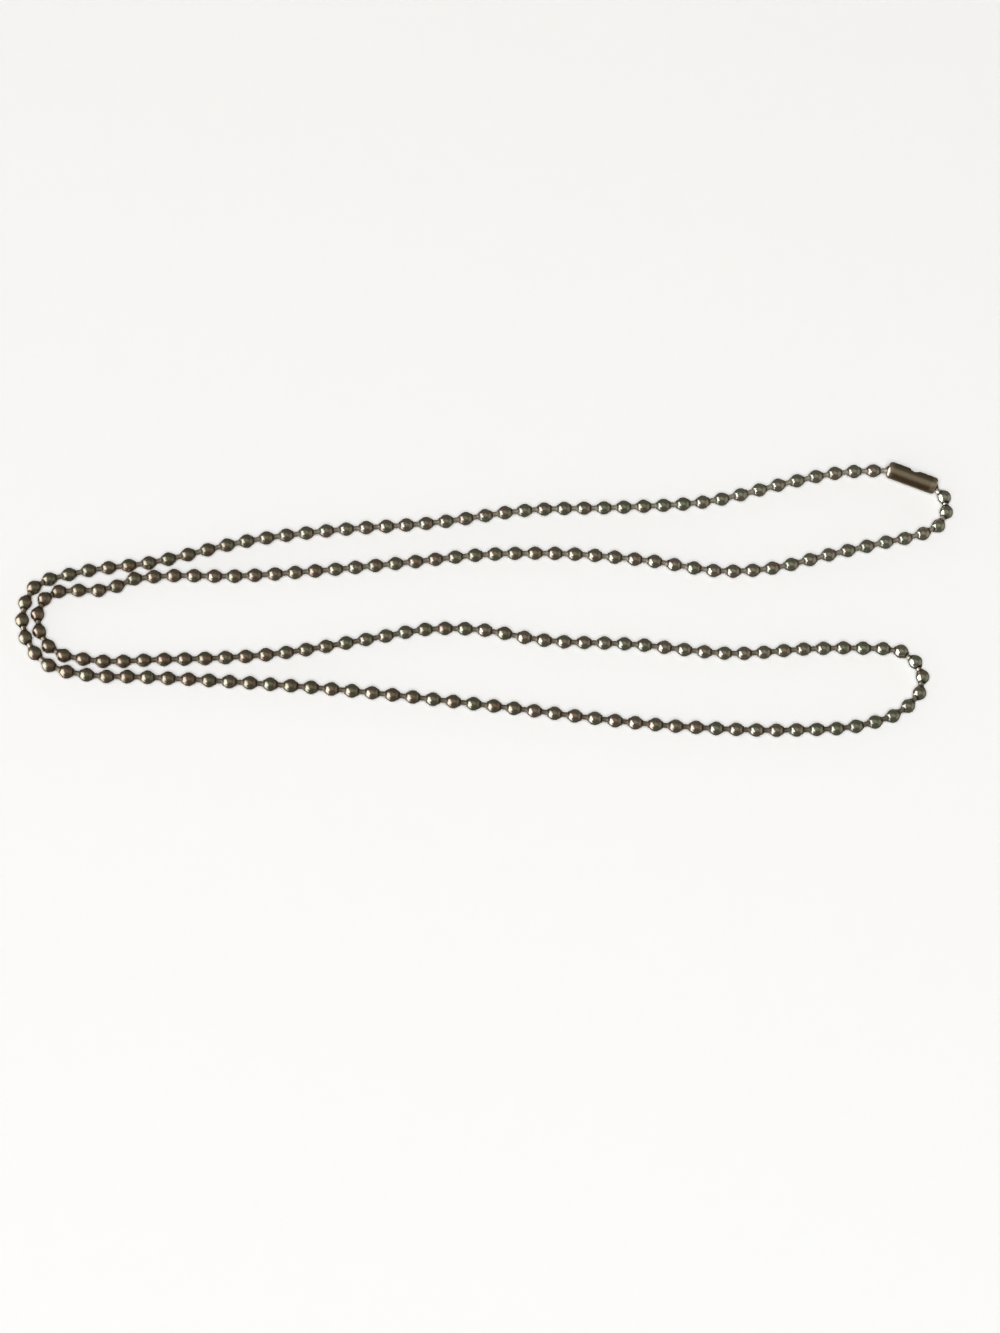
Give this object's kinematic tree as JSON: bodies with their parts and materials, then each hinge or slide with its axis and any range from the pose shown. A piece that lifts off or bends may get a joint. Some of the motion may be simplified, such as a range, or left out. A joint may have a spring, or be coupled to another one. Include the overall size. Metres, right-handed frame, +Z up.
{
  "type": "ball chain necklace",
  "caption": "Closed loop of hollow metal ball chain laid flat and folded in a C, its ends joined by a slotted sheet-metal sleeve connector.",
  "frame": {"origin": "middle of the laid necklace's outline, seen from above, on the surface that it lies on", "axes": "+X along the folded chain towards its connector, +Y across the folds, away from the picture's viewer, +Z up"},
  "size_m": [0.1636, 0.0516, 0.0031],
  "materials": {
    "ball_metal": "rolled steel balls, dull nickel plate gone pewter grey, smooth with a soft shine",
    "pin_metal": "drawn steel pins, thinly plated, matt, paler than the balls where they are clean",
    "sleeve_metal": "rolled and pressed sheet steel, dull nickel plate with faint lengthwise draw lines"
  },
  "bodies": {
    "root": {"balls": "ball_metal", "link_pins": "pin_metal", "connector": "sleeve_metal"}
  },
  "joints": []
}
